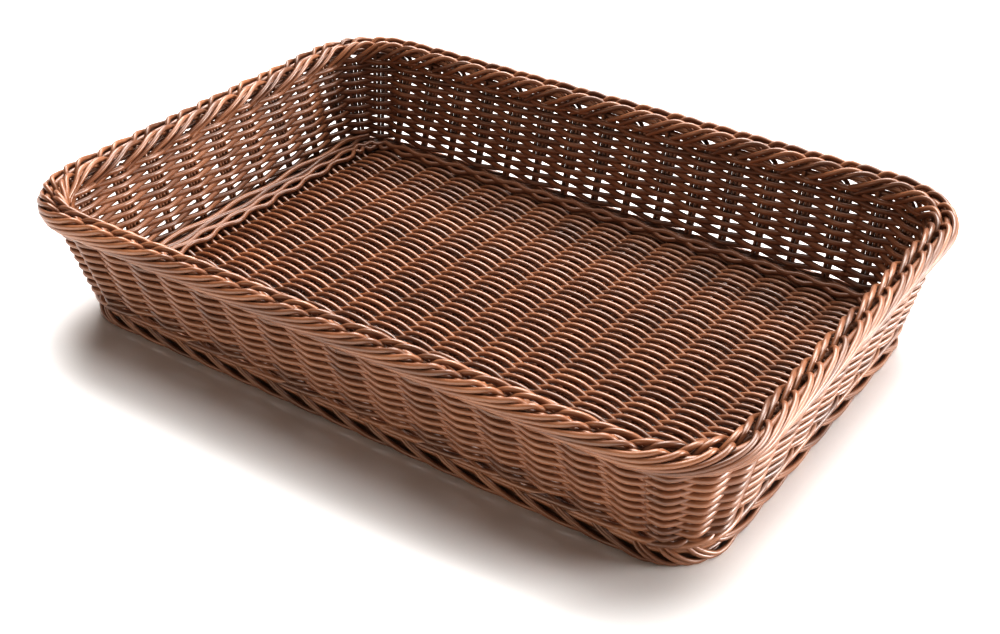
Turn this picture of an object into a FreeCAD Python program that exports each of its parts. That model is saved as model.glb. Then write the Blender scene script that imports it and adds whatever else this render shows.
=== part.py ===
import FreeCAD, Part
import math
import os

os.makedirs("parts", exist_ok=True)

# A rectangular open tray basket woven in round plastic wicker, in millimetres.
# X runs along the long walls, Y along the short walls, +Z is up.
# The origin is the centre of the foot, on the surface that the basket stands on.
# The basket is left-right and front-back symmetrical; -Y is called the front.

# ---- driving dimensions ------------------------------------------------------
HEIGHT = 110.0            # foot to the top of the border
CORNER_FOOT_R = 36.0      # plan radius of the stake line at a corner, at z = 0
CORNER_TOP_R = 58.0       # and at the top of the border
STAKE_HX_FOOT = 266.5     # half length of the stake line at z = 0
STAKE_HY_FOOT = 166.6     # half width of the stake line at z = 0
LEAN_X = 0.2056           # outward lean of the short walls, mm per mm of height
LEAN_Y = 0.289            # outward lean of the long walls, mm per mm of height

STRAND = 4.0              # diameter of a floor stake
STAKE = 3.5               # diameter of one strand of a side stake pair
PAIR_GAP = 0.1            # slit between the two strands of a pair
WALL_HALF = 5.5           # half thickness of the woven wall about the stake line

LONG_STAKES = 16          # stake pairs on each long wall and across the floor
LONG_PITCH = 30.5
SHORT_STAKES = 9          # stake pairs on each short wall
SHORT_PITCH = 36.0
CORNER_FOOT_DEG = (45.0, 69.0)     # plan angles of a corner's two pairs at the foot
CORNER_TOP_DEG = (34.5, 62.5)      # and at the top, because they fan out

# heights of the bands of weaving, from the foot up
FOOT_TOP = 14.0
FLOOR_LOW = 6.2
FLOOR_TOP = 16.8
FLOOR_MID = 0.5 * (FLOOR_LOW + FLOOR_TOP)
EDGE_TOP = 23.0           # top of the strand that closes the floor against the wall
LOWER_WALE_TOP = 23.0
WEAVE_TOP = 82.0
BAND_LOW = 88.0
UPPER_WALE_TOP = 95.0
BRAID_LOW = 97.0
STAKE_LOW = 4.0           # lower end of the side stakes, above the foot strands
TAIL_LOW = 52.0           # lower end of the turned-down border ends

# offsets from the stake line, outward positive
FOOT_OUT_LOW = 8.0
FOOT_OUT_TOP = 6.0
FOOT_IN = -7.0
EDGE_IN = -9.5            # the closing strands reach this far over the floor
EDGE_END_INSET = 12.5     # and this much farther along the short walls
EDGE_END_INSET_TOP = 1.0
BAND_LOW_OUT = 8.0
BAND_OUT = 13.4           # the border stands proud of the wall by about 8 mm
BAND_OUT_Z = 97.0
BAND_SHOULDER = 11.0
BAND_SHOULDER_Z = 104.0
BAND_TOP_OUT = 3.5
BAND_IN = -2.5
BRAID_IN = -9.5
BRAID_TOP_IN = -6.0
BRAID_SHOULDER_Z = 106.0
TAIL_SIDE = 5.4           # distance of a turned-down end from the middle of its pair
EXTRA = 1.0               # how far cutting tools run past what they cut


def half_x(z):
    return STAKE_HX_FOOT + LEAN_X * z


def half_y(z):
    return STAKE_HY_FOOT + LEAN_Y * z


def corner_r(z):
    return CORNER_FOOT_R + (CORNER_TOP_R - CORNER_FOOT_R) * z / HEIGHT


def corner_centre(z):
    """Plan position of the corner axis in the +X +Y quarter at height z."""
    return half_x(z) - corner_r(z), half_y(z) - corner_r(z)


def plan_wire(z, offset, end_inset=0.0):
    """Rounded rectangle at height z, offset outward from the stake line."""
    r = corner_r(z) + offset
    hx = half_x(z) + offset - end_inset
    hy = half_y(z) + offset
    cx = hx - r
    cy = hy - r
    d = r * math.sqrt(0.5)

    def at(x, y):
        return FreeCAD.Vector(x, y, z)

    edges = [
        Part.makeLine(at(-cx, -hy), at(cx, -hy)),
        Part.Arc(at(cx, -hy), at(cx + d, -cy - d), at(hx, -cy)).toShape(),
        Part.makeLine(at(hx, -cy), at(hx, cy)),
        Part.Arc(at(hx, cy), at(cx + d, cy + d), at(cx, hy)).toShape(),
        Part.makeLine(at(cx, hy), at(-cx, hy)),
        Part.Arc(at(-cx, hy), at(-cx - d, cy + d), at(-hx, cy)).toShape(),
        Part.makeLine(at(-hx, cy), at(-hx, -cy)),
        Part.Arc(at(-hx, -cy), at(-cx - d, -cy - d), at(-cx, -hy)).toShape(),
    ]
    return Part.Wire(edges)


def tub(profile):
    """Closed solid through rounded rectangles; a profile row is what plan_wire takes."""
    return Part.makeLoft([plan_wire(*row) for row in profile], True, True)


def ring(outer, inner):
    """Closed band: the outer tub less the inner tub, which runs past both ends."""
    below = (inner[0][0] - EXTRA,) + tuple(inner[0][1:])
    above = (inner[-1][0] + EXTRA,) + tuple(inner[-1][1:])
    return tub(outer).cut(tub([below] + list(inner) + [above]))


def straight_wall(along_x, sign, z_low, z_top):
    """One flat leaning panel of the wall between two corners."""
    wires = []
    for z in (z_low, z_top):
        cx, cy = corner_centre(z)
        if along_x:
            y_in = sign * (half_y(z) - WALL_HALF)
            y_out = sign * (half_y(z) + WALL_HALF)
            pts = [(-cx, y_in), (cx, y_in), (cx, y_out), (-cx, y_out), (-cx, y_in)]
        else:
            x_in = sign * (half_x(z) - WALL_HALF)
            x_out = sign * (half_x(z) + WALL_HALF)
            pts = [(x_in, -cy), (x_in, cy), (x_out, cy), (x_out, -cy), (x_in, -cy)]
        wires.append(Part.makePolygon([FreeCAD.Vector(x, y, z) for x, y in pts]))
    return Part.makeLoft(wires, True, True)


def corner_wall(sx, sy, z_low, z_top):
    """Quarter turn of the wall at the corner in the direction (sx, sy)."""
    wires = []
    for z in (z_low, z_top):
        cx, cy = corner_centre(z)

        def at(radius, deg):
            a = math.radians(deg)
            x = sx * (cx + radius * math.cos(a))
            y = sy * (cy + radius * math.sin(a))
            return FreeCAD.Vector(x, y, z)

        r_in = corner_r(z) - WALL_HALF
        r_out = corner_r(z) + WALL_HALF
        edges = [
            Part.Arc(at(r_out, 0), at(r_out, 45), at(r_out, 90)).toShape(),
            Part.makeLine(at(r_out, 90), at(r_in, 90)),
            Part.Arc(at(r_in, 90), at(r_in, 45), at(r_in, 0)).toShape(),
            Part.makeLine(at(r_in, 0), at(r_out, 0)),
        ]
        wires.append(Part.Wire(edges))
    return Part.makeLoft(wires, True, True)


def on_long_wall(x, sign, z):
    """Point of the stake line on the long wall, following the corner arc."""
    cx, cy = corner_centre(z)
    past = max(0.0, abs(x) - cx)
    return FreeCAD.Vector(x, sign * (cy + math.sqrt(corner_r(z) ** 2 - past ** 2)), z)


def on_short_wall(y, sign, z):
    """Point of the stake line on the short wall, following the corner arc."""
    cx, cy = corner_centre(z)
    past = max(0.0, abs(y) - cy)
    return FreeCAD.Vector(sign * (cx + math.sqrt(corner_r(z) ** 2 - past ** 2)), y, z)


def on_corner(sx, sy, deg, z):
    cx, cy = corner_centre(z)
    a = math.radians(deg)
    return FreeCAD.Vector(sx * (cx + corner_r(z) * math.cos(a)),
                          sy * (cy + corner_r(z) * math.sin(a)), z)


def rods(low, top, half_gap, radius):
    """Two parallel round strands, side by side in the plane of the wall."""
    run = top.sub(low)
    mid = low.add(top).multiply(0.5)
    outward = FreeCAD.Vector(mid.x, mid.y, 0.0)
    cx, cy = corner_centre(mid.z)
    outward.x = max(-1.0, min(1.0, mid.x / half_x(mid.z))) * max(0.0, abs(mid.x) - cx)
    outward.y = max(-1.0, min(1.0, mid.y / half_y(mid.z))) * max(0.0, abs(mid.y) - cy)
    outward.normalize()
    side = run.cross(outward)
    side.normalize()
    both = []
    for s in (-1.0, 1.0):
        start = low.add(FreeCAD.Vector(side).multiply(s * half_gap))
        both.append(Part.makeCylinder(radius, run.Length, start, run))
    return both


def centred(count, pitch):
    return [(i - 0.5 * (count - 1)) * pitch for i in range(count)]


def stake_ends(z_low, z_top):
    """Lower and upper centre points of every side stake pair, by wall."""
    places = {"front": [], "back": [], "left": [], "right": [], "corners": []}
    for name, sign in (("front", -1), ("back", 1)):
        for x in centred(LONG_STAKES, LONG_PITCH):
            places[name].append((on_long_wall(x, sign, z_low), on_long_wall(x, sign, z_top)))
    for name, sign in (("left", -1), ("right", 1)):
        for y in centred(SHORT_STAKES, SHORT_PITCH):
            places[name].append((on_short_wall(y, sign, z_low), on_short_wall(y, sign, z_top)))
    for sx in (-1, 1):
        for sy in (-1, 1):
            for foot_deg, top_deg in zip(CORNER_FOOT_DEG, CORNER_TOP_DEG):
                places["corners"].append((on_corner(sx, sy, foot_deg, z_low),
                                          on_corner(sx, sy, top_deg, z_top)))
    return places


def save(shape, name):
    shape.exportStep("parts/" + name + ".step")


# ---- floor -------------------------------------------------------------------
floor_rods = []
for x in centred(LONG_STAKES, LONG_PITCH):
    for s in (-1, 1):
        rod_x = x + s * 0.5 * (STRAND + PAIR_GAP)
        past = max(0.0, abs(rod_x) - corner_centre(FLOOR_MID)[0])
        floor_r = corner_r(FLOOR_MID) + FOOT_IN
        reach = corner_centre(FLOOR_MID)[1] + math.sqrt(floor_r ** 2 - past ** 2)
        floor_rods.append(Part.makeCylinder(0.5 * STRAND, 2.0 * (reach - EXTRA),
                                            FreeCAD.Vector(rod_x, -reach + EXTRA, FLOOR_MID),
                                            FreeCAD.Vector(0, 1, 0)))
base_stakes = Part.makeCompound(floor_rods)
base_weave = tub([(FLOOR_LOW, FOOT_IN), (FLOOR_TOP, FOOT_IN)]).cut(base_stakes)
base_edge = ring([(FLOOR_TOP, FOOT_IN), (EDGE_TOP, FOOT_IN)],
                 [(FLOOR_TOP, EDGE_IN, EDGE_END_INSET), (EDGE_TOP, EDGE_IN, EDGE_END_INSET_TOP)])

# ---- side stakes and turned-down border ends ---------------------------------
pair_half = 0.5 * (STAKE + PAIR_GAP)
stakes = {}
for wall, ends in stake_ends(STAKE_LOW, UPPER_WALE_TOP).items():
    solids = []
    for low, top in ends:
        solids.extend(rods(low, top, pair_half, 0.5 * STAKE))
    stakes[wall] = solids

tails = []
for wall, ends in stake_ends(STAKE_LOW, UPPER_WALE_TOP).items():
    for low, top in ends:
        share = (TAIL_LOW - low.z) / (top.z - low.z)
        start = low.add(top.sub(low).multiply(share))
        tails.extend(rods(start, top, TAIL_SIDE, 0.5 * STAKE))

all_stakes = [s for solids in stakes.values() for s in solids]


def clear_of(shape, rods_in_it):
    """The weaving passes on both sides of its rods, so they run in channels."""
    box = shape.BoundBox
    near = [r for r in rods_in_it if box.intersect(r.BoundBox)]
    return shape.cut(Part.makeCompound(near))


# ---- bands of the wall -------------------------------------------------------
foot_border = clear_of(ring([(0.0, FOOT_OUT_LOW), (FOOT_TOP, FOOT_OUT_TOP)],
                            [(0.0, FOOT_IN), (FOOT_TOP, FOOT_IN)]), all_stakes)
lower_wale = clear_of(ring([(FOOT_TOP, FOOT_OUT_TOP), (LOWER_WALE_TOP, WALL_HALF)],
                           [(FOOT_TOP, FOOT_IN), (LOWER_WALE_TOP, FOOT_IN)]), all_stakes)
upper_wale = clear_of(ring([(WEAVE_TOP, WALL_HALF), (UPPER_WALE_TOP, WALL_HALF)],
                           [(WEAVE_TOP, -WALL_HALF), (UPPER_WALE_TOP, -WALL_HALF)]),
                      all_stakes + tails)

weave = {}
in_weave = all_stakes + tails
weave["front"] = straight_wall(True, -1, LOWER_WALE_TOP, WEAVE_TOP)
weave["back"] = straight_wall(True, 1, LOWER_WALE_TOP, WEAVE_TOP)
weave["left"] = straight_wall(False, -1, LOWER_WALE_TOP, WEAVE_TOP)
weave["right"] = straight_wall(False, 1, LOWER_WALE_TOP, WEAVE_TOP)
weave["front_left_corner"] = corner_wall(-1, -1, LOWER_WALE_TOP, WEAVE_TOP)
weave["front_right_corner"] = corner_wall(1, -1, LOWER_WALE_TOP, WEAVE_TOP)
weave["back_left_corner"] = corner_wall(-1, 1, LOWER_WALE_TOP, WEAVE_TOP)
weave["back_right_corner"] = corner_wall(1, 1, LOWER_WALE_TOP, WEAVE_TOP)

# ---- border ------------------------------------------------------------------
# the band hangs down outside the upper wale and closes over its top
border_band = ring([(BAND_LOW, BAND_LOW_OUT), (BAND_OUT_Z, BAND_OUT),
                    (BAND_SHOULDER_Z, BAND_SHOULDER), (HEIGHT, BAND_TOP_OUT)],
                   [(UPPER_WALE_TOP, BAND_IN), (HEIGHT, BAND_IN)])
border_band = border_band.cut(tub([(BAND_LOW - EXTRA, WALL_HALF), (UPPER_WALE_TOP, WALL_HALF)]))
border_braid = ring([(BRAID_LOW, BAND_IN), (HEIGHT, BAND_IN)],
                    [(BRAID_LOW, BRAID_IN), (BRAID_SHOULDER_Z, BRAID_IN), (HEIGHT, BRAID_TOP_IN)])

# ---- one file for each named piece -------------------------------------------
save(base_stakes, "base_stakes")
save(base_weave, "base_weave")
save(base_edge, "base_edge")
save(foot_border, "foot_border")
save(lower_wale, "lower_wale")
save(upper_wale, "upper_wale")
save(border_band, "border_band")
save(border_braid, "border_braid")
save(Part.makeCompound(tails), "border_tails")
for wall, solids in stakes.items():
    save(Part.makeCompound(solids), "stakes_" + wall)
for wall, panel in weave.items():
    save(clear_of(panel, in_weave), "weave_" + wall)
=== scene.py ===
import math

import bpy
import numpy as np
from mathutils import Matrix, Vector


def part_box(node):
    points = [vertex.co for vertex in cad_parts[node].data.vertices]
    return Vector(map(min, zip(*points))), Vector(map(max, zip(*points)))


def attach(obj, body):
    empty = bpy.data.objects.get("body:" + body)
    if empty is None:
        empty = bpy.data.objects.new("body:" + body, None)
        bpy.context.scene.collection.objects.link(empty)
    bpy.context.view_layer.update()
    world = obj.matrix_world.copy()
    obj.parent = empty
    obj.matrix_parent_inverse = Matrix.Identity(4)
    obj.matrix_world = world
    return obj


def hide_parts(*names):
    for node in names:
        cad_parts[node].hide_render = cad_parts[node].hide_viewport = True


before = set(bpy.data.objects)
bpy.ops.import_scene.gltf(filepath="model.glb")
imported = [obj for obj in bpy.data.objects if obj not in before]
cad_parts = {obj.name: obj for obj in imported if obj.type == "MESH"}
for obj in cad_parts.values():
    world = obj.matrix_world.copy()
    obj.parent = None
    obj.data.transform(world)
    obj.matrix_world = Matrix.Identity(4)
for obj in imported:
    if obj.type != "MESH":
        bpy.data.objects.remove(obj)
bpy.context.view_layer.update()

MM = 0.001
RNG = np.random.default_rng(312)

# ---- the object's counts and strands, in millimetres --------------------------
W_HALF = 5.5                 # half thickness of the woven wall
STAKE_R = 1.75               # one strand of a side stake pair
PAIR = 1.8                   # half distance between the two strands of a pair
WEAVER_R = 2.42
FLOOR_WEAVER_R = 2.04
EDGE_R = 2.2
BAND_R = 1.95                # a border strand in the outer band
ROPE_R = 2.05                # the same strand in the inner rope
CORE_R = 2.5
FOOT_CORE_R = 2.1
N_LONG = 16                  # stake pairs in a long wall
N_SHORT = 9                  # stake pairs in a short wall
N_CORNER = 2                 # fanned stake pairs in a corner
SHORT_LAST = 144.0           # from a short wall's middle to its last stake pair
CORNER_DEG_LOW = (45.0, 69.0)    # where a corner's stakes stand on its turn, at the foot
CORNER_DEG_HIGH = (34.5, 62.5)   # and at the rim
Z_LOW = 4.0                  # the height that the foot's angles belong to
RADIUS_SPREAD = 0.03         # how much one weaver's radius differs from the next


# ---- sizes read from the CAD nodes, in millimetres ----------------------------
def box_mm(node):
    lo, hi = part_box(node)
    return np.array(lo) / MM, np.array(hi) / MM


right_lo, right_hi = box_mm("weave_right")
back_lo, back_hi = box_mm("weave_back")
corner_lo, _ = box_mm("weave_back_right_corner")
_, foot_hi = box_mm("foot_border")
floor_lo, floor_hi = box_mm("base_weave")
_, front_hi = box_mm("stakes_front")
_, upper_hi = box_mm("upper_wale")
band_lo, _ = box_mm("border_band")

Z_WEAVE = right_lo[2]
Z_UPPER = right_hi[2]
Z_HIGH = upper_hi[2]
Z_BAND = band_lo[2]
FLOOR_Z = 0.5 * (floor_lo[2] + floor_hi[2])
LEAN_X = (right_hi[0] - right_lo[0] - 2 * W_HALF) / (Z_UPPER - Z_WEAVE)
LEAN_Y = (back_hi[1] - back_lo[1] - 2 * W_HALF) / (Z_UPPER - Z_WEAVE)
HX0 = right_lo[0] + W_HALF - LEAN_X * Z_WEAVE
HY0 = back_lo[1] + W_HALF - LEAN_Y * Z_WEAVE
R_LOW = HX0 + LEAN_X * Z_WEAVE - corner_lo[0]
R_HIGH = HX0 + LEAN_X * Z_UPPER - back_hi[0]
R_LEAN = (R_HIGH - R_LOW) / (Z_UPPER - Z_WEAVE)
LONG_LAST = front_hi[0] - STAKE_R - PAIR
LONG_PITCH = 2 * LONG_LAST / (N_LONG - 1)
SHORT_PITCH = 2 * SHORT_LAST / (N_SHORT - 1)


def half_x(z):
    return HX0 + LEAN_X * z


def half_y(z):
    return HY0 + LEAN_Y * z


def corner_r(z):
    return R_LOW + R_LEAN * (z - Z_WEAVE)


# ---- the rounded rectangle that the stakes stand on ---------------------------
def plan(t, z):
    """Point and outward normal at arc length t, counter-clockwise from the front's middle."""
    t = np.asarray(t, float)
    z = np.asarray(z, float) + 0 * t
    hx, hy = half_x(z), half_y(z)
    r = corner_r(z)
    cx, cy = hx - r, hy - r
    arc = 0.5 * math.pi * r
    total = 4 * cx + 4 * cy + 4 * arc
    t = np.mod(t, total)
    ends = [cx, cx + arc, cx + arc + 2 * cy, cx + 2 * arc + 2 * cy, 3 * cx + 2 * arc + 2 * cy,
            3 * cx + 3 * arc + 2 * cy, 3 * cx + 3 * arc + 4 * cy, 3 * cx + 4 * arc + 4 * cy]
    x = np.zeros_like(t)
    y = np.zeros_like(t)
    nx = np.zeros_like(t)
    ny = np.zeros_like(t)

    def put(mask, px, py, ax, ay):
        x[mask] = (px + 0 * t)[mask]
        y[mask] = (py + 0 * t)[mask]
        nx[mask] = (ax + 0 * t)[mask]
        ny[mask] = (ay + 0 * t)[mask]

    seg = np.zeros_like(t, int)
    for e in ends:
        seg += t >= e
    # straight runs and quarter turns alternate, from half the front to its other half
    put(seg == 0, t, -hy, 0, -1)
    a = (t - ends[0]) / r
    put(seg == 1, cx + r * np.sin(a), -cy - r * np.cos(a), np.sin(a), -np.cos(a))
    put(seg == 2, hx, -cy + (t - ends[1]), 1, 0)
    a = (t - ends[2]) / r
    put(seg == 3, cx + r * np.cos(a), cy + r * np.sin(a), np.cos(a), np.sin(a))
    put(seg == 4, cx - (t - ends[3]), hy, 0, 1)
    a = (t - ends[4]) / r
    put(seg == 5, -cx - r * np.sin(a), cy + r * np.cos(a), -np.sin(a), np.cos(a))
    put(seg == 6, -hx, cy - (t - ends[5]), -1, 0)
    a = (t - ends[6]) / r
    put(seg == 7, -cx - r * np.cos(a), -cy - r * np.sin(a), -np.cos(a), -np.sin(a))
    put(seg == 8, t - ends[7] - cx, -hy, 0, -1)
    return x, y, nx, ny


def perimeter(z):
    return 4 * (half_x(z) + half_y(z) - 2 * corner_r(z)) + 2 * math.pi * corner_r(z)


def stake_arcs(z):
    """Arc length of every side stake at height z, counter-clockwise, front middle first."""
    r = corner_r(z)
    cx = half_x(z) - r
    cy = half_y(z) - r
    arc = 0.5 * math.pi * r

    def bend(over):
        """A place past the end of a straight run, brought onto the turn."""
        return r * math.asin(min(over / r, 1.0)) if over > 0 else over

    fan = (z - Z_LOW) / (Z_HIGH - Z_LOW)
    turns = [math.radians(low + (high - low) * fan)
             for low, high in zip(CORNER_DEG_LOW, CORNER_DEG_HIGH)]
    quarter = []
    for i in range(N_LONG // 2):
        x = (i + 0.5) * LONG_PITCH
        quarter.append(x if x < cx else cx + bend(x - cx))
    for turn in reversed(turns):
        quarter.append(cx + r * (0.5 * math.pi - turn))
    for i in range(N_SHORT // 2, 0, -1):
        y = i * SHORT_PITCH
        quarter.append(cx + arc + cy - (y if y < cy else cy + bend(y - cy)))
    half = 2 * (cx + cy + arc)
    middle = cx + arc + cy
    first = quarter + [middle] + [2 * middle - q for q in reversed(quarter)]
    return np.array(first + [half + q for q in first])


ARC_LOW = stake_arcs(Z_LOW)
ARC_HIGH = stake_arcs(Z_HIGH)
N = len(ARC_LOW)
LEN_LOW = perimeter(Z_LOW)
LEN_HIGH = perimeter(Z_HIGH)


def arc_at(u, z):
    """Arc length at stake count u (0 is the first stake, N is once round) and height z."""
    u = np.asarray(u, float)
    k = np.floor(u).astype(int)
    f = u - k
    low = ARC_LOW[k % N] + LEN_LOW * (k // N)
    low2 = ARC_LOW[(k + 1) % N] + LEN_LOW * ((k + 1) // N)
    high = ARC_HIGH[k % N] + LEN_HIGH * (k // N)
    high2 = ARC_HIGH[(k + 1) % N] + LEN_HIGH * ((k + 1) // N)
    w = (np.asarray(z, float) - Z_LOW) / (Z_HIGH - Z_LOW)
    return (low + (low2 - low) * f) * (1 - w) + (high + (high2 - high) * f) * w


def wall_point(u, z, off, shift=0.0):
    """Points at stake count u, height z, offset off outward, shifted along the wall in mm."""
    u, z, off, shift = np.broadcast_arrays(*[np.asarray(v, float) for v in (u, z, off, shift)])
    x, y, nx, ny = plan(arc_at(u, z) + shift, z)
    return np.stack([x + nx * off, y + ny * off, z], axis=-1)


# ---- tubes --------------------------------------------------------------------
SIDES = 8                    # flats round a strand
TIP = 0.45                   # how far a strand's rounded end stands out, in radii
UV_PER_MM = 0.02             # texture length along a strand
STEEP = 0.8


def frames(pts, closed):
    """Tangents and a rotation-minimising pair of normals along a line of points."""
    if closed:
        tan = np.roll(pts, -1, 0) - np.roll(pts, 1, 0)
    else:
        tan = np.gradient(pts, axis=0)
    tan /= np.linalg.norm(tan, axis=1)[:, None]
    # the first normal leans on the vertical, or on the level where the line starts out steep
    ref = np.array([0.0, 0.0, 1.0]) if abs(tan[0][2]) < STEEP else np.array([1.0, 0.3, 0.0])
    n = ref - tan[0] * ref.dot(tan[0])
    n /= np.linalg.norm(n)
    out = np.empty_like(pts)
    out[0] = n
    for i in range(1, len(pts)):
        n = n - tan[i] * n.dot(tan[i])
        n = n / math.sqrt(n.dot(n))
        out[i] = n
    return tan, out, np.cross(tan, out)


def spline(ctrl, per):
    """Catmull-Rom points through the control rows, per steps in each span."""
    c = np.asarray(ctrl, float)
    c = np.vstack([2 * c[0] - c[1], c, 2 * c[-1] - c[-2]])
    rows = []
    for i in range(1, len(c) - 2):
        p0, p1, p2, p3 = c[i - 1], c[i], c[i + 1], c[i + 2]
        for q in np.arange(per) / per:
            rows.append(0.5 * (2 * p1 + (p2 - p0) * q + (2 * p0 - 5 * p1 + 4 * p2 - p3) * q * q
                               + (3 * p1 - p0 - 3 * p2 + p3) * q ** 3))
    rows.append(c[-2])
    return np.array(rows)


class Strands:
    """Round strands gathered into one mesh, with a colour number for each strand."""

    def __init__(self):
        self.verts, self.faces, self.tones, self.along, self.around = [], [], [], [], []
        self.count = 0

    def add(self, pts, radius, tone=None, axes=None):
        """radius is one number or one for each point; axes is what frames() gives."""
        pts = np.asarray(pts, float)
        tan, n1, n2 = axes if axes is not None else frames(pts, False)
        m = SIDES
        a = 2 * math.pi * np.arange(m) / m
        r = np.broadcast_to(np.asarray(radius, float), (len(pts),))[:, None, None]
        ring = pts[:, None, :] + r * (np.cos(a)[None, :, None] * n1[:, None, :]
                                      + np.sin(a)[None, :, None] * n2[:, None, :])
        base = self.count
        self.verts.append(ring.reshape(-1, 3))
        k = len(pts)
        i = np.arange(k - 1)[:, None] * m
        j = np.arange(m)[None, :]
        j2 = (j + 1) % m
        quads = np.stack([base + i + j, base + i + j2, base + i + m + j2, base + i + m + j], -1)
        self.faces.append(quads.reshape(-1, 4))
        step = np.linalg.norm(np.diff(pts, axis=0), axis=1)
        run = np.concatenate([[0.0], np.cumsum(step)])
        near, far = run[:-1, None] + 0 * j, run[1:, None] + 0 * j
        self.along.append(np.stack([near, near, far, far], -1).reshape(-1, 4))
        turn = np.stack([j / m, (j + 1) / m, (j + 1) / m, j / m], -1) + 0 * run[:-1, None, None]
        self.around.append(turn.reshape(-1, 4))
        # closed round ends, each a small fan about the middle of the end; a fan's triangle
        # is a quad whose last two corners are the same
        for end, outward in ((0, -1), (k - 1, 1)):
            tip = base + k * m + (0 if end == 0 else 1)
            self.verts.append(pts[end][None, :] + outward * TIP * r[end, 0, 0] * tan[end][None, :])
            here = base + end * m + np.arange(m)
            after = base + end * m + (np.arange(m) + 1) % m
            top = np.full(m, tip)
            fan = [top, after, here, here] if end == 0 else [here, after, top, top]
            self.faces.append(np.stack(fan, -1))
            self.along.append(np.full((m, 4), run[end]))
            self.around.append(np.full((m, 4), 0.5))
        self.count += k * m + 2
        t = RNG.random() if tone is None else tone
        self.tones.append(np.full(k * m + 2, t))

    def build(self, name, nodes, slot):
        verts = np.concatenate(self.verts) * MM
        quads = np.concatenate(self.faces)
        along = np.concatenate(self.along)
        around = np.concatenate(self.around)
        keep = np.ones((len(quads), 4), bool)
        keep[quads[:, 2] == quads[:, 3], 3] = False
        corners = quads[keep]
        sizes = keep.sum(1)
        starts = np.concatenate([[0], np.cumsum(sizes)[:-1]])
        mesh = bpy.data.meshes.new(name)
        mesh.vertices.add(len(verts))
        mesh.vertices.foreach_set("co", verts.ravel())
        mesh.loops.add(len(corners))
        mesh.loops.foreach_set("vertex_index", corners.astype(np.int32))
        mesh.polygons.add(len(sizes))
        mesh.polygons.foreach_set("loop_start", starts.astype(np.int32))
        mesh.polygons.foreach_set("use_smooth", np.ones(len(sizes), bool))
        uv = mesh.uv_layers.new(name="Strand")
        co = np.stack([along[keep] * UV_PER_MM, around[keep]], -1)
        uv.data.foreach_set("uv", co.ravel().astype(np.float32))
        tone = mesh.attributes.new("tone", "FLOAT", "POINT")
        tone.data.foreach_set("value", np.concatenate(self.tones).astype(np.float32))
        mesh.update(calc_edges=True)
        mesh.validate()
        mesh.materials.append(WICKER[slot])
        obj = bpy.data.objects.new(name, mesh)
        bpy.context.scene.collection.objects.link(obj)
        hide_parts(*nodes)
        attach(obj, "root")


# ---- material -----------------------------------------------------------------
DARK = (0.130, 0.050, 0.021)
MID = (0.240, 0.097, 0.042)
LIGHT = (0.325, 0.143, 0.066)
ROUGHNESS = 0.36
TONE_SHARE = 0.55            # how much of the colour goes strand by strand
STREAK_SHARE = 0.45          # and how much in streaks along a strand
BLOT_SHARE = 0.5             # slow change over the whole basket, about its middle


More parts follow.
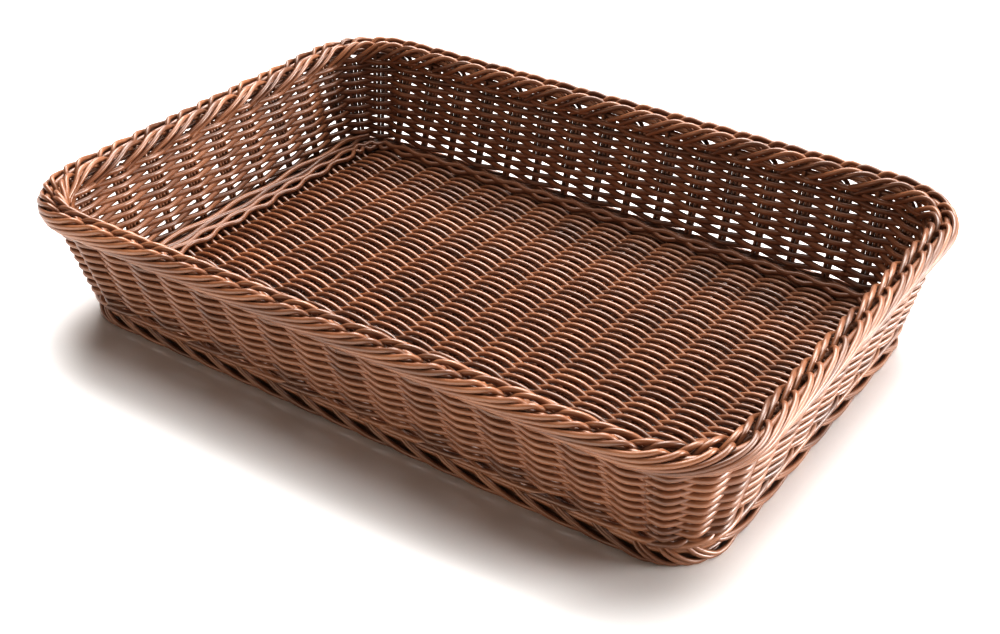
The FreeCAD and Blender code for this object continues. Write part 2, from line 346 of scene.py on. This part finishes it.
def wicker(name):
    """Brown plastic strand: a tone for each strand, streaks along it and a faint grain."""
    mat = bpy.data.materials.new(name)
    mat.use_nodes = True
    nodes, link = mat.node_tree.nodes, mat.node_tree.links.new
    bsdf = nodes["Principled BSDF"]

    def add(kind, **inputs):
        node = nodes.new("ShaderNode" + kind)
        for key, value in inputs.items():
            node.inputs[key.replace("_", " ")].default_value = value
        return node

    def maths(operation, first, **values):
        """values are the second and third inputs, where they are numbers."""
        node = nodes.new("ShaderNodeMath")
        node.operation = operation
        link(first, node.inputs[0])
        for place, value in zip((1, 2), values.values()):
            node.inputs[place].default_value = value
        return node

    tone = nodes.new("ShaderNodeAttribute")
    tone.attribute_name = "tone"
    uv = nodes.new("ShaderNodeUVMap")
    uv.uv_map = "Strand"
    # each strand reads its own slice of the noise, stretched along the strand
    stretch = add("Mapping", Scale=(1.0, 5.0, 1.0))
    link(uv.outputs["UV"], stretch.inputs["Vector"])
    slice_at = nodes.new("ShaderNodeCombineXYZ")
    link(maths("MULTIPLY", tone.outputs["Fac"], by=57.0).outputs[0], slice_at.inputs["Z"])
    place = nodes.new("ShaderNodeVectorMath")
    place.operation = "ADD"
    link(stretch.outputs["Vector"], place.inputs[0])
    link(slice_at.outputs["Vector"], place.inputs[1])
    streak = add("TexNoise", Scale=1.6, Detail=4.0)
    link(place.outputs[0], streak.inputs["Vector"])
    over_all = nodes.new("ShaderNodeTexCoord")
    blot = add("TexNoise", Scale=22.0, Detail=2.0)
    link(over_all.outputs["Object"], blot.inputs["Vector"])

    strand = maths("MULTIPLY_ADD", tone.outputs["Fac"], by=TONE_SHARE)
    link(maths("MULTIPLY", streak.outputs["Fac"], by=STREAK_SHARE).outputs[0], strand.inputs[2])
    slow = maths("MULTIPLY_ADD", blot.outputs["Fac"], by=BLOT_SHARE, plus=-0.5 * BLOT_SHARE)
    total = maths("ADD", strand.outputs[0])
    link(slow.outputs[0], total.inputs[1])
    ramp = nodes.new("ShaderNodeValToRGB")
    stops = ramp.color_ramp.elements
    stops[0].position = 0.12
    stops[0].color = (*DARK, 1)
    stops[1].position = 0.88
    stops[1].color = (*LIGHT, 1)
    stops.new(0.5).color = (*MID, 1)
    link(total.outputs[0], ramp.inputs["Fac"])
    link(ramp.outputs["Color"], bsdf.inputs["Base Color"])

    rough = add("MapRange", From_Min=0.3, From_Max=0.7,
                To_Min=ROUGHNESS - 0.06, To_Max=ROUGHNESS + 0.08)
    link(streak.outputs["Fac"], rough.inputs["Value"])
    link(rough.outputs["Result"], bsdf.inputs["Roughness"])
    grain = add("TexNoise", Scale=9.0, Detail=3.0)
    link(place.outputs[0], grain.inputs["Vector"])
    bump = add("Bump", Strength=0.12, Distance=0.0004)
    link(grain.outputs["Fac"], bump.inputs["Height"])
    link(bump.outputs["Normal"], bsdf.inputs["Normal"])
    bsdf.inputs["Specular IOR Level"].default_value = 0.85
    bsdf.inputs["Coat Weight"].default_value = 0.10
    bsdf.inputs["Coat Roughness"].default_value = 0.32
    return mat


WICKER = {f"{use}_strand": wicker(f"{use} wicker")
          for use in ("wall", "stake", "floor", "wale", "border")}


# ---- how a strand passes the stakes -------------------------------------------
FLOOR_REACH = 3.6            # a floor weaver's swing above and below the floor's middle
FLOOR_SHARP = 1.15
WEAVE_REACH = 4.1            # a wall weaver's swing each side of the stakes
RIDGE_BEND = 0.955           # 1 would be a zigzag, 0 a plain wave
DRIFT_WAVES = (2, 3, 5, 9, 17, 31)       # waves once round the basket
DRIFT_SUM = 2.5              # about the size that those waves add up to


def over_under(u, row):
    """Height of a floor weaver, which passes over and under alternate stakes."""
    phase = np.cos(math.pi * (u + row))
    return FLOOR_REACH * np.tanh(FLOOR_SHARP * phase) / math.tanh(FLOOR_SHARP)


def ridge(row):
    """Offset of a wall weaver: nearly straight from stake to stake, round over each one."""
    phase = np.cos(math.pi * (GRID + row))
    return WEAVE_REACH * np.arcsin(RIDGE_BEND * phase) / math.asin(RIDGE_BEND)


def jitter(size):
    """Slow random drift once round the basket, which ends where it began."""
    a = np.linspace(0, 2 * math.pi, len(GRID), endpoint=False)
    out = np.zeros(len(GRID))
    for waves in DRIFT_WAVES:
        out += RNG.normal() * np.sin(waves * a + RNG.random() * 7)
    return size * out / DRIFT_SUM


# ---- floor --------------------------------------------------------------------
ROW_Y = 4.1                  # between one floor row and the next
ROW_INSET = 6.0              # from the stakes' line to the ends of the rows
RIB_INSET = 5.0
ROW_DRIFT = 0.25
ROW_WAVES = 0.021            # turns of the drift, in radians per millimetre
STEPS_PER_STAKE = 8
RIB_POINTS = 40
FLOOR_R = corner_r(FLOOR_Z)
FLOOR_CX = half_x(FLOOR_Z) - FLOOR_R
FLOOR_CY = half_y(FLOOR_Z) - FLOOR_R

rows = Strands()
count = int(2 * (half_y(FLOOR_Z) - ROW_INSET) / ROW_Y)
for k in range(count + 1):
    y = (k - 0.5 * count) * ROW_Y
    past = max(0.0, abs(y) - FLOOR_CY)
    reach = FLOOR_CX + math.sqrt(max((FLOOR_R - ROW_INSET) ** 2 - past ** 2, 0.0))
    x = np.linspace(-reach, reach, int(2 * reach / (LONG_PITCH / STEPS_PER_STAKE)))
    u = x / LONG_PITCH + 0.5 * (N_LONG - 1)
    drift = ROW_DRIFT * np.sin(x * ROW_WAVES + RNG.random() * 6) * RNG.random()
    radius = FLOOR_WEAVER_R * (1 + RADIUS_SPREAD * RNG.normal())
    rows.add(np.stack([x, y + drift, FLOOR_Z + over_under(u, k)], -1), radius)
rows.build("floor_weaving", ["base_weave"], "floor_strand")

ribs = Strands()
for x in (np.arange(N_LONG) - 0.5 * (N_LONG - 1)) * LONG_PITCH:
    for side in (-1, 1):
        past = max(0.0, abs(x) - FLOOR_CX)
        reach = FLOOR_CY + math.sqrt((FLOOR_R - RIB_INSET) ** 2 - past ** 2)
        y = np.linspace(-reach, reach, RIB_POINTS)
        ribs.add(np.stack([x + side * PAIR + 0 * y, y, FLOOR_Z + 0 * y], -1), STAKE_R)
ribs.build("floor_ribs", ["base_stakes"], "stake_strand")

# ---- rings of weaving ---------------------------------------------------------
GRID = np.arange(N * STEPS_PER_STAKE) / STEPS_PER_STAKE
ROWS = 16
UPPER_ROWS = 4
LOWER_START = 0.5            # how far the lower wale reaches into the foot
HEIGHT_DRIFT = 0.16          # of a wall row
UPPER_DRIFT = 0.14           # of a row above the open weave
WALE_DRIFT = 0.1
OFFSET_DRIFT = 0.12


def add_ring(target, off, z, radius):
    """A closed ring of strand, as one tube whose two ends meet."""
    pts = wall_point(GRID, z, off)
    axes = frames(pts, True)
    target.add(np.vstack([pts, pts[:1]]), radius,
               axes=tuple(np.vstack([a, a[:1]]) for a in axes))


# the walls' nodes, counter-clockwise, each with the number of gaps between stakes it spans
SPANS = [("weave_front_right_corner", N_CORNER + 1), ("weave_right", N_SHORT - 1),
         ("weave_back_right_corner", N_CORNER + 1), ("weave_back", N_LONG - 1),
         ("weave_back_left_corner", N_CORNER + 1), ("weave_left", N_SHORT - 1),
         ("weave_front_left_corner", N_CORNER + 1), ("weave_front", N_LONG - 1)]
weave = {name: Strands() for name, _ in SPANS}
for k in range(ROWS):
    z = Z_WEAVE + (k + 0.5) * (Z_UPPER - Z_WEAVE) / ROWS + jitter(HEIGHT_DRIFT)
    pts = wall_point(GRID, z, ridge(k) + jitter(OFFSET_DRIFT))
    axes = frames(pts, True)
    tone = RNG.random()
    radius = WEAVER_R * (1 + RADIUS_SPREAD * RNG.normal())
    start = 0.5 * (N_LONG - 1)
    for name, span in SPANS:
        first, last = int(start * STEPS_PER_STAKE), int((start + span) * STEPS_PER_STAKE)
        part = np.arange(first, last + 1) % len(GRID)
        weave[name].add(pts[part], radius, tone, tuple(a[part] for a in axes))
        start += span
for name, _ in SPANS:
    weave[name].build(name.replace("weave", "woven"), [name], "wall_strand")


def wale(target, z_low, height, side):
    """One round of a three-strand wale: past two stakes on one side, then behind the third."""
    reach, sharp, long_side, climb = 3.9, 1.9, 0.28, 1.5
    for j in range(3):
        v = np.mod(GRID + j, 3.0)        # 0 to 2 is the long side, 2 to 3 the short one
        phase = np.cos((v - 1.0) * 2 * math.pi / 3.0)
        off = side * reach * np.tanh(sharp * (phase + long_side))
        rise = np.where(v > 2.0, climb * (1.0 - 2.0 * (v - 2.0)), climb * (v - 1.0))
        add_ring(target, off, z_low + 0.5 * height + rise + jitter(WALE_DRIFT), WEAVER_R)


lower = Strands()
z0 = foot_hi[2] - LOWER_START
for side in (1, -1):
    wale(lower, z0, Z_WEAVE - z0, side)
lower.build("lower_wale_strands", ["lower_wale"], "wale_strand")

upper = Strands()
for k in range(UPPER_ROWS):
    z = Z_UPPER + (k + 0.5) * (Z_HIGH - Z_UPPER) / UPPER_ROWS + jitter(UPPER_DRIFT)
    add_ring(upper, ridge(k + ROWS) + jitter(OFFSET_DRIFT), z, WEAVER_R)
upper.build("upper_wale_strands", ["upper_wale"], "wale_strand")

# ---- strands closing the floor against the wall -------------------------------
EDGE_Z = 20.0
KINK_SHARP = 2.4
# each row: offset and height along the long walls, then along the short walls, then how far
# its kinks go outward and up
EDGE = [(-9.9, 18.0, -20.6, 18.3, 1.8, 0.5), (-8.3, 20.6, -16.2, 20.4, -0.9, -0.5)]
GROOVE_OFF, GROOVE_Z = -5.6, 15.4
SLOPE_STARTS = (8.6, 37.6)   # stake counts, one at each short wall
SLOPE_SPAN = 10.8            # in stakes
SLOPE_EASE = 1.6             # stakes over which an end tucks into the wall
SLOPE_TUCK = -3.0            # the offset of the ends
SLOPE_ROWS = ((-12.6, 22.2, 1), (-9.2, 24.8, -1))      # offset, height, side of the first wave
SLOPE_WAVE, SLOPE_LIFT = 1.3, 0.7
SLOPE_R = 2.3
SLOPE_POINTS = 90

edge = Strands()
_, _, NX, NY = plan(arc_at(GRID, EDGE_Z), EDGE_Z)
zigzag = np.abs(np.mod(GRID, 1.0) * 2 - 1)
kink = np.tanh(KINK_SHARP * (zigzag * 2 - 1))
for off_long, z_long, off_short, z_short, out, lift in EDGE:
    off = off_long * NY ** 2 + off_short * NX ** 2
    z = z_long * NY ** 2 + z_short * NX ** 2
    add_ring(edge, off + out * kink, z + lift * kink, EDGE_R)
# a strand in the groove between the floor's ends and the foot, mostly hidden
add_ring(edge, GROOVE_OFF, GROOVE_Z, EDGE_R)
# two more fill the wider slope at each short wall and tuck into the wall at its corners
for first in SLOPE_STARTS:
    u = np.linspace(first, first + SLOPE_SPAN, SLOPE_POINTS)
    wave = np.cos(math.pi * u)
    inside = np.clip(np.minimum(u - u[0], u[-1] - u) / SLOPE_EASE, 0, 1)
    inside = inside * inside * (3 - 2 * inside)
    for off, z, side in SLOPE_ROWS:
        off = SLOPE_TUCK + (off - SLOPE_TUCK + SLOPE_WAVE * side * wave) * inside
        edge.add(wall_point(u, z + SLOPE_LIFT * side * wave * inside, off), SLOPE_R)
edge.build("floor_edge_strands", ["base_edge"], "floor_strand")

# ---- side stakes --------------------------------------------------------------
STAKE_START = 12.0
STAKE_POINTS = 24
stakes = {name: [] for name in ("stakes_front", "stakes_right", "stakes_back", "stakes_left",
                                "stakes_corners")}
order = (["stakes_front"] * (N_LONG // 2) + ["stakes_corners"] * N_CORNER
         + ["stakes_right"] * N_SHORT + ["stakes_corners"] * N_CORNER
         + ["stakes_back"] * N_LONG + ["stakes_corners"] * N_CORNER
         + ["stakes_left"] * N_SHORT + ["stakes_corners"] * N_CORNER
         + ["stakes_front"] * (N_LONG // 2))
for i, name in enumerate(order):
    stakes[name].append(i)
for name, members in stakes.items():
    rods = Strands()
    for i in members:
        for side in (-1, 1):
            z = np.linspace(STAKE_START, Z_BAND, STAKE_POINTS)
            rods.add(wall_point(i, z, 0.0, side * PAIR), STAKE_R)
    rods.build(name.replace("stakes", "rods"), [name], "stake_strand")

# ---- border -------------------------------------------------------------------
# A pair of stakes leans over along the band, dips into the rim, crosses it as one bead of
# the rope and runs down inside the wall. Each row: stake counts along, outward offset, height.
SWEEP = [(0.00, 0.0, 87.0), (0.05, 2.0, 90.8), (0.24, 6.0, 92.8), (0.60, 9.4, 94.2),
         (1.10, 11.3, 96.2), (1.65, 11.6, 99.0), (2.15, 10.8, 102.0), (2.55, 9.0, 104.8),
         (2.80, 6.8, 107.0), (2.95, 4.4, 107.9), (3.06, 2.4, 106.0), (3.14, 1.0, 103.0),
         (3.22, -0.4, 99.8)]
ROPE = [(3.22, -0.4, 99.8), (3.36, -1.2, 103.0), (3.53, -2.6, 106.0), (3.72, -4.4, 107.2),
        (3.92, -6.2, 106.2), (4.12, -7.4, 103.4), (4.36, -7.0, 99.6), (4.58, -5.0, 96.0),
        (4.80, -2.8, 92.2), (5.00, -1.6, 88.4)]
# stake counts along, and the value there
SPREAD = ([0.0, 0.5, 2.2, 3.0, 4.6, 5.0], [0.0, 0.25, 0.25, 0.19, 0.17, 0.1])   # in stakes
SHIFT = ([0.0, 0.4, 4.5, 4.92], [PAIR, 0.0, 0.0, 3.0])                          # in mm
LOOSE = ([0, 1, 4, 5], [0, 1, 1, 0])
RADIUS = ([0.0, 0.3, 3.1, 3.4, 4.6, 4.92], [STAKE_R, BAND_R, BAND_R, ROPE_R, ROPE_R, STAKE_R])
BORDER_STEPS = 3
BORDER_DRIFT = 0.25
TAIL_REACH = 5.0             # stakes from a strand's own place to its tail
TAIL_END = 44.0
TAIL_OFF = -0.8
TAIL_SIDE = 5.4              # from the stake pair's middle to a tail
TAIL_POINTS = 12
BAND_CORES = ((3.8, 98.2), (4.8, 102.6))        # offset and height
BAND_CORE_DRIFT = 0.2

band = Strands()
rope = Strands()
tails = Strands()
sweep = spline(SWEEP, BORDER_STEPS)
cut = len(sweep)
along, off, z = np.vstack([sweep, spline(ROPE, BORDER_STEPS)[1:]]).T
radius = np.interp(along, *RADIUS)
for m in range(2 * N):
    i, side = m // 2, (m % 2) * 2 - 1
    tone = RNG.random()
    drift = BORDER_DRIFT * RNG.normal() * np.interp(along, *LOOSE)
    pts = wall_point(i + along + np.interp(along, *SPREAD) * side, z, off + drift,
                     np.interp(along, *SHIFT) * side)
    axes = frames(pts, False)
    band.add(pts[:cut], radius[:cut], tone, tuple(a[:cut] for a in axes))
    rope.add(pts[cut - 1:], radius[cut - 1:], tone, tuple(a[cut - 1:] for a in axes))
    tail_z = np.linspace(Z_HIGH, TAIL_END, TAIL_POINTS)
    tails.add(wall_point(i + TAIL_REACH, tail_z, TAIL_OFF, TAIL_SIDE * side), STAKE_R, tone)
# level core strands in the hollow between the band and the rope
for core_off, core_z in BAND_CORES:
    add_ring(band, core_off + jitter(BAND_CORE_DRIFT), core_z, CORE_R)
band.build("border_band_strands", ["border_band"], "border_strand")
rope.build("border_braid_strands", ["border_braid"], "border_strand")
tails.build("border_tail_strands", ["border_tails"], "border_strand")

# ---- foot ---------------------------------------------------------------------
# A pair of stakes leans over below the wall, outside two others and in under the floor.
# Each row: stake counts along, outward offset, height.
FOOT = [(0.00, 0.0, 16.0), (0.10, 2.0, 12.6), (0.40, 4.6, 8.6), (0.80, 6.2, 4.6),
        (1.20, 6.2, 1.9), (1.70, 4.6, 1.8), (2.15, 1.4, 1.9), (2.50, -2.6, 3.0),
        (2.80, -5.2, 6.5), (3.05, -6.0, 11.0)]
FOOT_SPREAD = ([0.0, 0.4], [PAIR, 2.6])
FOOT_STEPS = 5
FOOT_CORES = ((1.2, 10.4), (-0.6, 6.6), (0.6, 3.0))     # offset and height
FOOT_CORE_DRIFT = 0.3

foot = Strands()
along, off, z = spline(FOOT, FOOT_STEPS).T
for m in range(2 * N):
    i, side = m // 2, (m % 2) * 2 - 1
    pts = wall_point(i + along, z, off, np.interp(along, *FOOT_SPREAD) * side)
    pts[:, 2] = np.maximum(pts[:, 2], STAKE_R)
    foot.add(pts, STAKE_R)
# level strands inside the plait, behind the slanting ends
for core_off, core_z in FOOT_CORES:
    add_ring(foot, core_off + jitter(FOOT_CORE_DRIFT), core_z, FOOT_CORE_R)
foot.build("foot_border_strands", ["foot_border"], "border_strand")

# ---- stage --------------------------------------------------------------------
STUDIO_SIZE = 80             # metres, wide enough to reach the horizon at a low view
SUN_DISTANCE = 2.0
bpy.ops.mesh.primitive_plane_add(size=STUDIO_SIZE, location=(0, 0, 0))
ground = bpy.context.object
ground.name = "studio_floor"
paper = bpy.data.materials.new("studio floor")
paper.use_nodes = True
matte = paper.node_tree.nodes["Principled BSDF"]
matte.inputs["Base Color"].default_value = (0.90, 0.893, 0.885, 1)
matte.inputs["Roughness"].default_value = 0.9
matte.inputs["Specular IOR Level"].default_value = 0.1
ground.data.materials.append(paper)

scene = bpy.context.scene
world = bpy.data.worlds.new("studio")
scene.world = world
world.use_nodes = True
# white studio walls stand low round the basket and fade to a dark ceiling
WALL_GREY, WALL_TOP = 0.57, 0.10
CEILING_GREY, CEILING_START = 0.03, 0.42
sky_nodes, sky_link = world.node_tree.nodes, world.node_tree.links.new
direction = sky_nodes.new("ShaderNodeTexCoord")
height = sky_nodes.new("ShaderNodeSeparateXYZ")
fade = sky_nodes.new("ShaderNodeValToRGB")
for stop, place, grey in zip(fade.color_ramp.elements, (WALL_TOP, CEILING_START),
                             (WALL_GREY, CEILING_GREY)):
    stop.position = place
    stop.color = (grey, grey, grey, 1)
sky_link(direction.outputs["Generated"], height.inputs["Vector"])
sky_link(height.outputs["Z"], fade.inputs["Fac"])
sky_link(fade.outputs["Color"], sky_nodes["Background"].inputs["Color"])
sky_nodes["Background"].inputs["Strength"].default_value = 1.0
scene.view_settings.view_transform = "Standard"
scene.view_settings.gamma = 0.76
scene.view_settings.exposure = 0.78

WHITE = (1.0, 1.0, 1.0)
WARM = (1.0, 0.80, 0.58)
# name, azimuth counter-clockwise from +X, elevation, strength, spread in degrees, colour
SUNS = [("soft_top_right", 68, 54, 1.05, 38, WHITE), ("soft_top_left", 128, 52, 2.2, 38, WHITE),
        ("soft_high", 95, 78, 1.55, 38, WHITE), ("panel_right", 33, 10, 3.2, 30, WHITE),
        ("front_low", -108, 7, 0.55, 40, WARM)]
for name, azimuth, elevation, strength, spread, color in SUNS:
    light = bpy.data.lights.new(name, "SUN")
    light.energy = strength
    light.angle = math.radians(spread)
    light.color = color
    lamp = bpy.data.objects.new(name, light)
    scene.collection.objects.link(lamp)
    a, e = math.radians(azimuth), math.radians(elevation)
    towards = Vector((math.cos(a) * math.cos(e), math.sin(a) * math.cos(e), math.sin(e)))
    lamp.location = towards * SUN_DISTANCE
    lamp.rotation_euler = towards.to_track_quat("Z", "Y").to_euler()

# ---- camera -------------------------------------------------------------------
CAMERA_AZIMUTH = math.radians(34.92)      # to the right of straight ahead of the front wall
CAMERA_ELEVATION = math.radians(32.43)
CAMERA_DISTANCE = 1.138
LENS, SENSOR = 52.6, 36
TARGET = Vector((0.0034, 0.0062, 0.0))
back = Vector((math.sin(CAMERA_AZIMUTH) * math.cos(CAMERA_ELEVATION),
               -math.cos(CAMERA_AZIMUTH) * math.cos(CAMERA_ELEVATION),
               math.sin(CAMERA_ELEVATION)))
cam_data = bpy.data.cameras.new("camera")
cam_data.sensor_width = SENSOR
cam_data.lens = LENS
cam = bpy.data.objects.new("camera", cam_data)
scene.collection.objects.link(cam)
cam.location = TARGET + back * CAMERA_DISTANCE
cam.rotation_euler = back.to_track_quat("Z", "Y").to_euler()
scene.camera = cam
